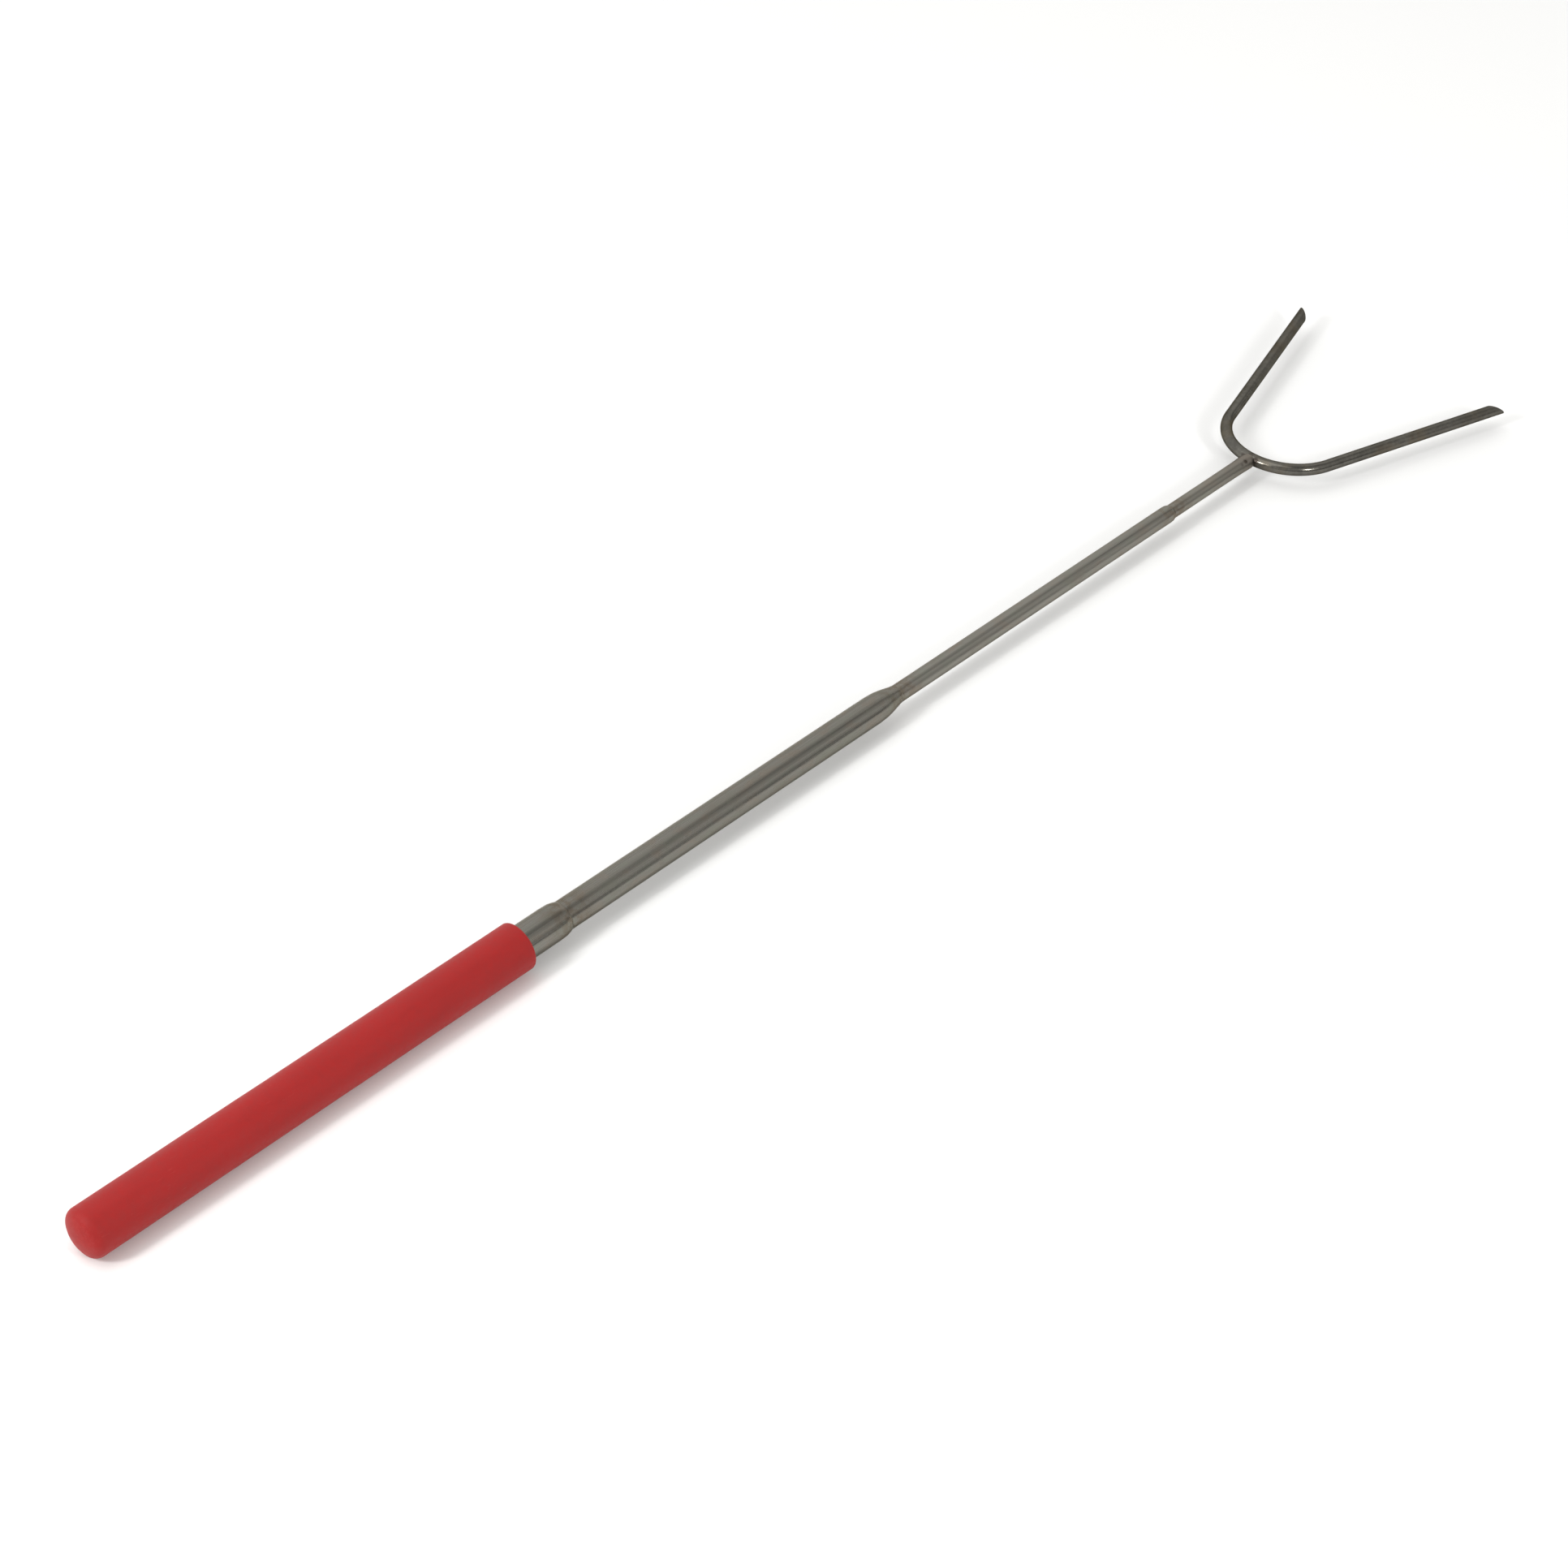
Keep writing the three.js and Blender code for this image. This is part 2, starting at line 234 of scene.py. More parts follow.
# --------------------------------------------------------------------------
# node helpers
# --------------------------------------------------------------------------
class Nodes:
    def __init__(self, name):
        self.mat = bpy.data.materials.new(name)
        self.mat.use_nodes = True
        self.t = self.mat.node_tree
        self.t.nodes.clear()
        self.out = self.t.nodes.new("ShaderNodeOutputMaterial")
        self.bsdf = self.t.nodes.new("ShaderNodeBsdfPrincipled")
        self.t.links.new(self.bsdf.outputs[0], self.out.inputs[0])
        self.coord = self.t.nodes.new("ShaderNodeTexCoord").outputs["Object"]

    def link(self, a, b):
        self.t.links.new(a, b)

    def put(self, sock, val):
        if isinstance(val, bpy.types.NodeSocket):
            self.link(val, sock)
        else:
            sock.default_value = val

    def math(self, op, a, b=None, c=None, clamp=False):
        n = self.t.nodes.new("ShaderNodeMath")
        n.operation = op
        n.use_clamp = clamp
        self.put(n.inputs[0], a)
        if b is not None:
            self.put(n.inputs[1], b)
        if c is not None:
            self.put(n.inputs[2], c)
        return n.outputs[0]

    def vscale(self, vec, s):
        n = self.t.nodes.new("ShaderNodeVectorMath")
        n.operation = "MULTIPLY"
        self.put(n.inputs[0], vec)
        n.inputs[1].default_value = s
        return n.outputs[0]

    def vadd(self, vec, s):
        n = self.t.nodes.new("ShaderNodeVectorMath")
        n.operation = "ADD"
        self.put(n.inputs[0], vec)
        self.put(n.inputs[1], s)
        return n.outputs[0]

    def sep(self, vec):
        n = self.t.nodes.new("ShaderNodeSeparateXYZ")
        self.put(n.inputs[0], vec)
        return n.outputs

    def comb(self, x, y, z):
        n = self.t.nodes.new("ShaderNodeCombineXYZ")
        for s, v in zip(n.inputs, (x, y, z)):
            self.put(s, v)
        return n.outputs[0]

    def noise(self, vec, scale=1.0, detail=3.0, rough=0.55, distort=0.0):
        n = self.t.nodes.new("ShaderNodeTexNoise")
        self.put(n.inputs["Vector"], vec)
        n.inputs["Scale"].default_value = scale
        n.inputs["Detail"].default_value = detail
        n.inputs["Roughness"].default_value = rough
        n.inputs["Distortion"].default_value = distort
        return n.outputs["Fac"]

    def voronoi(self, vec, scale=1.0, feature="F1"):
        n = self.t.nodes.new("ShaderNodeTexVoronoi")
        n.feature = feature
        self.put(n.inputs["Vector"], vec)
        n.inputs["Scale"].default_value = scale
        return n.outputs["Distance"]

    def ramp(self, fac, stops, mode="LINEAR"):
        n = self.t.nodes.new("ShaderNodeValToRGB")
        n.color_ramp.interpolation = mode
        els = n.color_ramp.elements
        while len(els) < len(stops):
            els.new(0.5)
        for e, (p, c) in zip(els, stops):
            e.position = p
            e.color = (c, c, c, 1) if isinstance(c, (int, float)) else (*c, 1)
        self.put(n.inputs[0], fac)
        return n.outputs[0]

    def remap(self, v, a, b, c, d, smooth=False):
        n = self.t.nodes.new("ShaderNodeMapRange")
        if smooth:
            n.interpolation_type = "SMOOTHSTEP"
        self.put(n.inputs[0], v)
        for i, x in zip((1, 2, 3, 4), (a, b, c, d)):
            n.inputs[i].default_value = x
        return n.outputs[0]

    def mix(self, fac, a, b, mode="MIX"):
        n = self.t.nodes.new("ShaderNodeMix")
        n.data_type = "RGBA"
        n.blend_type = mode
        self.put(n.inputs[0], fac)
        for s, v in ((n.inputs[6], a), (n.inputs[7], b)):
            if isinstance(v, bpy.types.NodeSocket):
                self.link(v, s)
            else:
                s.default_value = (*v, 1)
        return n.outputs[2]

    def bump(self, height, strength, distance, normal=None):
        n = self.t.nodes.new("ShaderNodeBump")
        n.inputs["Strength"].default_value = strength
        n.inputs["Distance"].default_value = distance
        self.put(n.inputs["Height"], height)
        if normal is not None:
            self.link(normal, n.inputs["Normal"])
        return n.outputs[0]


def lin(r, g, b):
    f = lambda c: c / 12.92 if c <= 0.04045 else ((c + 0.055) / 1.055) ** 2.4
    return (f(r / 255), f(g / 255), f(b / 255))


# --------------------------------------------------------------------------
# materials
# --------------------------------------------------------------------------
def vinyl():
    """Soft red dipped vinyl: matte, with a fine skin, a faint mottle, and handling scuffs."""
    n = Nodes("red_vinyl")
    base = (0.313, 0.0108, 0.0099)
    fine = n.noise(n.vscale(n.coord, (1, 1, 1)), 2600, 3, 0.6)
    mid = n.noise(n.coord, 420, 4, 0.6)
    broad = n.noise(n.vscale(n.coord, (0.35, 1, 1)), 70, 3, 0.5, 0.3)
    m = n.math("ADD", n.math("MULTIPLY", mid, 0.55), n.math("MULTIPLY", broad, 0.45))
    col = n.mix(n.remap(m, 0.36, 0.64, 0, 1, True), tuple(c * 0.94 for c in base), tuple(min(1, c * 1.05) for c in base))
    # pores and dust, very fine
    pore = n.remap(n.voronoi(n.coord, 1500), 0.0, 0.16, 1.0, 0.0, True)
    col = n.mix(n.math("MULTIPLY", pore, 0.10), col, tuple(c * 0.55 for c in base))
    # scuffs along the grip from being put down and packed
    sc = n.noise(n.vscale(n.coord, (260, 1500, 1500)), 1.0, 4, 0.62, 0.4)
    patch = n.noise(n.coord, 38, 2, 0.5)
    scuff = n.math("MULTIPLY", n.remap(sc, 0.60, 0.72, 0, 1, True), n.remap(patch, 0.50, 0.66, 0, 1, True))
    # the butt is rubbed a little more than the rest
    x = n.sep(n.coord)[0]
    butt = n.remap(x, 0.0, 0.006, 1.0, 0.0, True)
    rub = n.math("MULTIPLY", butt, n.remap(n.noise(n.coord, 900, 4, 0.65), 0.44, 0.66, 0, 1, True))
    worn = n.math("MAXIMUM", n.math("MULTIPLY", scuff, 0.35), n.math("MULTIPLY", rub, 0.30), clamp=True)
    col = n.mix(worn, col, (0.40, 0.042, 0.038))
    n.put(n.bsdf.inputs["Base Color"], col)
    rough = n.remap(mid, 0.35, 0.65, 0.56, 0.68)
    rough = n.math("ADD", rough, n.math("MULTIPLY", worn, 0.12), clamp=True)
    n.put(n.bsdf.inputs["Roughness"], rough)
    n.bsdf.inputs["Specular IOR Level"].default_value = 0.26
    n.bsdf.inputs["Subsurface Weight"].default_value = 0.06
    n.bsdf.inputs["Subsurface Radius"].default_value = (1.0, 0.25, 0.2)
    n.bsdf.inputs["Subsurface Scale"].default_value = 0.0012
    n.bsdf.inputs["Sheen Weight"].default_value = 0.04
    n.bsdf.inputs["Sheen Roughness"].default_value = 0.5
    b1 = n.bump(fine, 0.30, 0.00006)
    b2 = n.bump(mid, 0.22, 0.00012, b1)
    b3 = n.bump(pore, -0.12, 0.00006, b2)
    n.put(n.bsdf.inputs["Normal"], b3)
    return n.mat


def streaks(n, vec, across=1.0):
    """Lengthwise drawing marks on a tube that runs along X: fine, medium and broad."""
    a = n.noise(n.vscale(vec, (30, 5200 * across, 5200 * across)), 1.0, 3, 0.6)
    b = n.noise(n.vscale(vec, (9, 1500 * across, 1500 * across)), 1.0, 3, 0.6)
    c = n.noise(n.vscale(vec, (5, 420 * across, 420 * across)), 1.0, 2, 0.5)
    return a, b, c


def dark_spots_and_shade(n, col, rgh, spots):
    """Dark spots with a ragged edge, some of them painted shadow: x, y, z, radius of the dark part, radius of its edge
    (mm), strength.
    """
    wv = n.t.nodes.new("ShaderNodeTexNoise")
    n.link(n.coord, wv.inputs["Vector"])
    wv.inputs["Scale"].default_value = 700
    wv.inputs["Detail"].default_value = 3
    off = n.t.nodes.new("ShaderNodeVectorMath")
    off.operation = "MULTIPLY_ADD"
    n.link(wv.outputs["Color"], off.inputs[0])
    off.inputs[1].default_value = (0.0010, 0.0010, 0.0010)
    n.link(n.coord, off.inputs[2])
    for cx, cy, cz, r0, r1, amt in spots:
        v = n.t.nodes.new("ShaderNodeVectorMath")
        v.operation = "DISTANCE"
        n.link(off.outputs[0], v.inputs[0])
        v.inputs[1].default_value = (cx * MM + 0.0005, cy * MM + 0.0005, cz * MM + 0.0005)
        d = n.remap(v.outputs["Value"], r0 * MM, r1 * MM, amt, 0, True)
        # the dark colour: darkening round the stake, and painted shadow where the tube and the rod meet
        col = n.mix(d, col, (0.050, 0.041, 0.035))
        rgh = n.math("ADD", rgh, n.math("MULTIPLY", d, 0.2), clamp=True)
    return col, rgh


def tube_steel(name, tint=(0.208, 0.200, 0.177), rough=0.24, heat_from=None, mouths=(), offset=0.0, marks=0.5):
    """Satin drawn steel tube. heat_from: x in metres from which smoke and heat stain it."""
    n = Nodes(name)
    vec = n.vadd(n.coord, (offset, offset * 0.37, offset * 0.71)) if offset else n.coord
    a, b, c = streaks(n, vec)
    s = n.math("ADD", n.math("ADD", n.math("MULTIPLY", a, 0.30), n.math("MULTIPLY", b, 0.42)), n.math("MULTIPLY", c, 0.28))
    dark = tuple(v * 0.88 for v in tint)
    light = tuple(min(1, v * 1.09) for v in tint)
    col = n.mix(n.remap(s, 0.38, 0.62, 0, 1, True), dark, light)
    # clouding: finger marks and a thin oxide film, warm in places
    cloud = n.noise(n.vscale(vec, (0.45, 1, 1)), 150, 4, 0.6, 0.5)
    col = n.mix(n.remap(cloud, 0.46, 0.72, 0, 0.34, True), col, tuple(v * k for v, k in zip(tint, (0.86, 0.80, 0.72))))
    hue = n.noise(n.vadd(n.vscale(vec, (0.5, 1, 1)), (0.11, 0.53, 0.29)), 210, 3, 0.55, 0.3)
    col = n.mix(n.remap(hue, 0.50, 0.68, 0, 0.42, True), col, tuple(v * k for v, k in zip(tint, (1.06, 0.92, 0.84))))
    col = n.mix(n.remap(hue, 0.50, 0.34, 0, 0.35, True), col, tuple(v * k for v, k in zip(tint, (0.93, 1.02, 0.94))))
    # grease and soot that collect where the next tube slides in
    for m0, side in mouths:
        xx = n.sep(n.coord)[0]
        dist = n.math("MULTIPLY", n.math("SUBTRACT", xx, m0), side)
        near = n.math("MULTIPLY", n.remap(dist, -0.016, -0.001, 0, 1, True), n.remap(dist, 0.0005, 0.010, 1, 0, True))
        near = n.math("MULTIPLY", near, n.remap(n.noise(n.vadd(vec, (0.7, 0.2, 0.9)), 300, 4, 0.65, 0.4), 0.38, 0.62, 0.10, 0.75, True))
        col = n.mix(near, col, tuple(v * k for v, k in zip(tint, (0.72, 0.60, 0.50))))
    # sliding marks: a few long scratches
    scr = n.noise(n.vscale(vec, (2.2, 2600, 2600)), 1.0, 2, 0.5)
    scr = n.remap(scr, 0.66, 0.73, 0, 1, True)
    brk = n.remap(n.noise(n.vscale(vec, (26, 300, 300)), 1.0, 2, 0.5), 0.46, 0.60, 0, 1, True)
    scr = n.math("MULTIPLY", scr, brk)
    col = n.mix(n.math("MULTIPLY", scr, marks), col, tuple(min(1, v * 1.35) for v in tint))
    # specks of dirt
    speck = n.remap(n.voronoi(vec, 520), 0.0, 0.13, 1, 0, True)
    speck = n.math("MULTIPLY", speck, n.remap(n.noise(vec, 90, 2, 0.5), 0.56, 0.66, 0, 1, True))
    col = n.mix(n.math("MULTIPLY", speck, 0.45), col, tuple(v * 0.35 for v in tint))
    rgh = n.remap(s, 0.36, 0.64, rough - 0.07, rough + 0.09)
    rgh = n.math("ADD", rgh, n.remap(cloud, 0.46, 0.72, 0, 0.09, True))
    rgh = n.math("SUBTRACT", rgh, n.math("MULTIPLY", scr, 0.06))
    if heat_from is not None:
        x = n.sep(n.coord)[0]
        wob = n.math("MULTIPLY", n.math("SUBTRACT", n.noise(n.coord, 160, 3, 0.6), 0.5), 0.014)
        h = n.remap(n.math("ADD", x, wob), heat_from, heat_from + 0.03, 0, 1, True)
        col = n.mix(n.math("MULTIPLY", h, 0.55), col, (0.195, 0.169, 0.146))
        rgh = n.math("ADD", rgh, n.math("MULTIPLY", h, 0.07))
        # darkening round the stake, and painted shadow in the corner against the rod and under the tube's end
        col, rgh = dark_spots_and_shade(n, col, rgh, STAKE_SPOTS_AND_JOINT_SHADOW)
    n.put(n.bsdf.inputs["Base Color"], col)
    n.bsdf.inputs["Metallic"].default_value = 1.0
    n.put(n.bsdf.inputs["Roughness"], rgh)
    n.bsdf.inputs["Specular Tint"].default_value = (0.62, 0.60, 0.56, 1)
    b1 = n.bump(a, 0.10, 0.000018)
    b2 = n.bump(b, 0.14, 0.000035, b1)
    b3 = n.bump(scr, -0.30, 0.000025, b2)
    n.put(n.bsdf.inputs["Normal"], b3)
    return n.mat


def rod_steel(name="rod_steel", tint=(0.132, 0.126, 0.111), rough=0.19):
    """Drawn rod: darker, closer grain, a little scale. The ground points are brighter, in their own ground_steel
    material.
    """
    n = Nodes(name)
    fine = n.noise(n.coord, 2400, 4, 0.65)
    mid = n.noise(n.coord, 620, 4, 0.6, 0.3)
    broad = n.noise(n.coord, 95, 3, 0.55, 0.4)
    m = n.math("ADD", n.math("MULTIPLY", mid, 0.5), n.math("MULTIPLY", broad, 0.5))
    col = n.mix(n.remap(m, 0.36, 0.64, 0, 1, True), tuple(v * 0.82 for v in tint), tuple(v * 1.15 for v in tint))
    warm = n.remap(n.noise(n.vadd(n.coord, (0.31, 0.12, 0.4)), 60, 3, 0.5, 0.6), 0.50, 0.68, 0, 0.5, True)
    col = n.mix(warm, col, (tint[0] * 1.02, tint[1] * 0.88, tint[2] * 0.70))
    pit = n.remap(n.voronoi(n.coord, 900), 0.0, 0.12, 1, 0, True)
    pit = n.math("MULTIPLY", pit, n.remap(n.noise(n.coord, 170, 2, 0.5), 0.55, 0.66, 0, 1, True))
    col = n.mix(n.math("MULTIPLY", pit, 0.5), col, tuple(v * 0.3 for v in tint))
    n.bsdf.inputs["Metallic"].default_value = 1.0
    n.bsdf.inputs["Specular Tint"].default_value = (0.34, 0.33, 0.31, 1)
    rgh = n.remap(m, 0.36, 0.64, rough - 0.05, rough + 0.08)
    rgh = n.math("ADD", rgh, n.math("MULTIPLY", warm, 0.08))
    # the prongs have been in the fire: duller and a shade darker than the bend
    xr = n.math("ADD", n.sep(n.coord)[0], n.math("MULTIPLY", n.math("SUBTRACT", n.noise(n.coord, 120, 3, 0.6), 0.5), 0.012))
    fire = n.remap(xr, 0.676, 0.706, 0, 1, True)
    rgh = n.math("ADD", rgh, n.math("MULTIPLY", fire, 0.15))
    soot = n.remap(n.noise(n.vadd(n.vscale(n.coord, (0.6, 1, 1)), (0.9, 0.4, 0.1)), 190, 4, 0.6, 0.5), 0.48, 0.70, 0, 0.5, True)
    col = n.mix(n.math("MULTIPLY", soot, fire), col, tuple(v * k for v, k in zip(tint, (0.66, 0.62, 0.58))))
    # painted shadow on the rod where it comes out of the tube
    col, rgh = dark_spots_and_shade(n, col, rgh, ROD_JOINT_SHADOW)
    n.put(n.bsdf.inputs["Base Color"], col)
    n.put(n.bsdf.inputs["Roughness"], rgh)
    b1 = n.bump(fine, 0.16, 0.000030)
    b2 = n.bump(mid, 0.14, 0.00006, b1)
    b3 = n.bump(pit, -0.3, 0.00005, b2)
    n.put(n.bsdf.inputs["Normal"], b3)
    return n.mat


def ground_steel():
    """The slanted cut of each point: bright, with parallel grinding lines."""
    n = Nodes("ground_steel")
    a = n.noise(n.vscale(n.coord, (1200, 9000, 400)), 1.0, 2, 0.5)
    b = n.noise(n.vscale(n.coord, (500, 3400, 200)), 1.0, 3, 0.6)
    s = n.math("ADD", n.math("MULTIPLY", a, 0.5), n.math("MULTIPLY", b, 0.5))
    col = n.mix(n.remap(s, 0.38, 0.62, 0, 1, True), (0.16, 0.153, 0.140), (0.27, 0.26, 0.245))
    n.put(n.bsdf.inputs["Base Color"], col)
    n.bsdf.inputs["Metallic"].default_value = 1.0
    n.put(n.bsdf.inputs["Roughness"], n.remap(s, 0.36, 0.64, 0.28, 0.44))
    n.put(n.bsdf.inputs["Normal"], n.bump(b, 0.4, 0.00005, n.bump(a, 0.3, 0.00003)))
    return n.mat


def brass():
    n = Nodes("spring_brass")
    grain = n.noise(n.vscale(n.coord, (60, 2200, 2200)), 1.0, 3, 0.6)
    tarn = n.noise(n.coord, 330, 4, 0.6, 0.5)
    col = n.mix(n.remap(tarn, 0.40, 0.66, 0, 1, True), (0.60, 0.43, 0.20), (0.36, 0.24, 0.12))
    col = n.mix(n.remap(grain, 0.35, 0.65, 0, 0.35), col, (0.74, 0.57, 0.30))
    n.put(n.bsdf.inputs["Base Color"], col)
    n.bsdf.inputs["Metallic"].default_value = 1.0
    n.put(n.bsdf.inputs["Roughness"], n.remap(tarn, 0.38, 0.66, 0.26, 0.48))
    n.put(n.bsdf.inputs["Normal"], n.bump(grain, 0.2, 0.00003))
    return n.mat


def black_plastic():
    n = Nodes("plug_plastic")
    g = n.noise(n.coord, 1900, 4, 0.6)
    m = n.noise(n.coord, 240, 3, 0.5)
    col = n.mix(n.remap(m, 0.4, 0.6, 0, 1), (0.010, 0.010, 0.011), (0.019, 0.019, 0.020))
    n.put(n.bsdf.inputs["Base Color"], col)
    n.put(n.bsdf.inputs["Roughness"], n.remap(g, 0.35, 0.65, 0.42, 0.60))
    n.put(n.bsdf.inputs["Normal"], n.bump(g, 0.3, 0.00005))
    return n.mat


# dark spots on the fourth tube, darkening round the stake and painted shadow where its end meets the rod: x, y, z,
# radius of the dark part, radius of its edge (mm), strength
STAKE_SPOTS_AND_JOINT_SHADOW = [(646.7, -1.85, 2.75, 0.3, 1.7, 0.62), (643.9, -2.2, 2.55, 0.2, 1.3, 0.40), (650.4, 2.3, 2.5, 0.3, 1.7, 0.7),
          (651.2, -3.0, 1.4, 0.3, 2.4, 0.75), (650.6, 0.0, -3.3, 0.4, 2.2, 0.7)]

# painted shadow on the rod where it comes out of the tube
ROD_JOINT_SHADOW = [(651.6, -3.5, 1.6, 0.7, 2.1, 0.95), (651.8, 3.4, 1.6, 0.4, 1.5, 0.6), (652.6, 0.0, 2.4, 0.6, 1.8, 0.5),
              (651.5, -3.6, -1.0, 0.6, 2.2, 0.85), (651.5, 3.6, -1.0, 0.5, 1.8, 0.6)]

M_VINYL = vinyl()
M_T1 = tube_steel("tube_steel_first", rough=0.24, offset=0.0, marks=0.25, mouths=[(T1_END * MM, 1)])
M_T2 = tube_steel("tube_steel_second", rough=0.24, offset=0.213, marks=0.4, mouths=[(T1_END * MM, -1), (T2_END * MM, 1)])
M_T3 = tube_steel("tube_steel_third", tint=(0.238, 0.2295, 0.204), rough=0.33, offset=0.571, marks=0.4, mouths=[(T2_END * MM, -1), (T3_END * MM, 1)])
M_T4 = tube_steel("tube_steel_fourth", tint=(0.232, 0.2235, 0.196), rough=0.31, offset=0.877, marks=0.35, heat_from=0.618, mouths=[(T3_END * MM, -1)])
M_ROD = rod_steel()
M_GROUND = ground_steel()
M_PIN = rod_steel("pin_steel", (0.105, 0.096, 0.084), 0.50)
M_BRASS = brass()
M_PLUG = black_plastic()


def place(ob, body, nodes, slot, *mats):
    ob.data.materials.clear()
    for m in mats:
        ob.data.materials.append(m)
    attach(ob, body)
    if nodes:
        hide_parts(*nodes)
    return ob


# --------------------------------------------------------------------------
# grip: closed vinyl sleeve
# --------------------------------------------------------------------------
def grip_shape(v):
    r = math.hypot(v.y, v.z)
    if r < 7.45:
        return v
    # the dipped skin isn't perfectly true: it swells and sinks by a few hundredths
    p = Vector((v.x * 0.030, v.y * 0.11, v.z * 0.11))
    d = 0.055 * noise.noise(p) + 0.022 * noise.noise(Vector((v.x * 0.12 + 7.1, v.y * 0.3, v.z * 0.3)))
    k = smooth01(v.x / 3.0)
    s = 1 + (d - 0.04) * k / r
    return Vector((v.x, v.y * s, v.z * s))


CROWN = 17.0                    # radius of the domed end
grip_profile = [(CROWN - math.sqrt(CROWN ** 2 - r * r), r) for r in (0.0, 0.8, 1.6, 2.4, 3.2, 4.0, 4.8, 5.5, 6.1)]
BR = 4.1
a0 = math.asin((GRIP_R - BR) / (CROWN - BR))
BC = CROWN - (CROWN - BR) * math.cos(a0)
for i in range(0, 19):
    a = a0 + (math.pi / 2 - a0) * i / 18
    grip_profile.append((BC - BR * math.cos(a), GRIP_R - BR + BR * math.sin(a)))
grip_profile += split_long([(BC + 0.2, GRIP_R), (GRIP_END - 1.6, GRIP_R)], 2.2)
lip = fillet([(GRIP_END - 1.5, GRIP_R), (GRIP_END, GRIP_R, 1.05), (GRIP_END, 7.32, 0.35), (GRIP_END - 2.0, 7.30)])
grip_profile += lip
grip_profile += [(120.0, 7.30), (6.2, 7.30), (5.6, 6.9), (5.4, 6.0), (5.4, 0.0)]
grip = revolve("grip_sleeve", grip_profile, seg=144, closed=False, shape=grip_shape, sharp=50)
place(grip, "handle", ["grip"], "grip_vinyl", M_VINYL)

# plug in the rear of the handle tube
plug = revolve("handle_end_plug", fillet([
    (6.5, 0.0), (6.5, 6.0, 0.4), (7.1, 6.25, 0.3), (9.0, 6.25, 0.1), (9.2, 6.5, 0.1), (9.8, 6.5, 0.1), (10.0, 6.25, 0.1),
    (11.0, 6.25, 0.1), (11.2, 6.5, 0.1), (11.8, 6.5, 0.1), (12.0, 6.25, 0.1), (14.0, 6.2, 0.3), (14.0, 5.3, 0.2),
    (8.0, 5.1, 0.5), (8.0, 0.0)]), seg=72, closed=False)
place(plug, "handle", ["handle_plug"], "plug_plastic", M_PLUG)


# --------------------------------------------------------------------------
# tubes
# --------------------------------------------------------------------------
def wavy(amount, key):
    """Drawn tubes carry very slight lengthwise ripples and a few shallow dents."""
    def f(v):
        r = math.hypot(v.y, v.z)
        d = amount * noise.noise(Vector((v.x * 0.02 + key, v.y * 0.35, v.z * 0.35)))
        s = 1 + (d - amount * 0.55) / r
        return Vector((v.x, v.y * s, v.z * s))
    return f


t1 = fillet([
    (T1_START, 6.9), (T1_START, T1_R, 0.2), (T1_END - 6.4, T1_R, 6.0), (T1_END - 2.9, T1_R - 0.16, 3.0),
    (T1_END - 0.9, T1_R - 0.60, 1.4), (T1_END, T1_R - 0.93, 0.12), (T1_END - 0.12, 6.27, 0.08), (T1_END - 2.2, 6.27, 0.6),
    (T1_END - 4.2, T1_BORE, 0.8), (T1_START, T1_BORE), (T1_START, 6.9)])
handle_tube = revolve("handle_tube_drawn", split_long(t1, 6.0), seg=112, shape=wavy(0.018, 1.7))
place(handle_tube, "handle", ["handle_tube"], "tube_steel", M_T1)

t2 = fillet([
    (T2_START, 5.8), (T2_START, T2_R, 0.15), (220.9, T2_R, 0.2), (221.3, T2_R + 0.2, 0.2), (222.1, T2_R + 0.2, 0.2),
    (222.5, T2_R, 0.2), (400.8, T2_R, 8.0), (405.4, T2_R - 0.27, 8.0), (408.6, T2_R - 0.74, 6.0), (411.6, T2_R - 1.38, 6.0),
    (414.2, T2_R - 1.95, 2.0), (T2_END, T2_R - 2.09, 0.06), (T2_END - 0.06, 4.00, 0.03), (T2_END - 2.0, 4.00, 2.0), (411.4, 4.35, 2.0),
    (409.6, 4.77, 2.0), (407.6, 5.14, 2.0), (405.0, 5.40, 3.0), (402.0, T2_BORE, 3.0), (T2_START, T2_BORE), (T2_START, 5.8)])
second = revolve("second_tube_drawn", split_long(t2, 6.0), seg=112, shape=wavy(0.018, 12.3))
place(second, "second_stage", ["second_tube"], "tube_steel", M_T2)

t3 = fillet([
    (T3_START, 3.8), (T3_START, T3_R, 0.1), (T3_END - 2.9, T3_R, 2.5), (T3_END - 1.4, T3_R - 0.10, 1.4),
    (T3_END - 0.5, T3_R - 0.33, 0.7), (T3_END, T3_R - 0.52, 0.06), (T3_END - 0.06, 3.385, 0.03), (T3_END - 1.6, 3.385, 0.6),
    (T3_END - 3.4, T3_BORE, 0.8), (T3_START, T3_BORE), (T3_START, 3.8)])
third = revolve("third_tube_drawn", split_long(t3, 6.0), seg=96, shape=wavy(0.014, 23.9))
place(third, "third_stage", ["third_tube"], "tube_steel", M_T3)


# fourth tube: round, then pressed over the fork's rod
def rod_top(x, clear):
    """Half height of the rod (plus clear) at station x, near the tool axis."""
    d = abs(x - ARC_BACK)
    rr = ROD_R + clear
    return math.sqrt(max(rr * rr - d * d, 0.0)) if x > ARC_BACK else rr


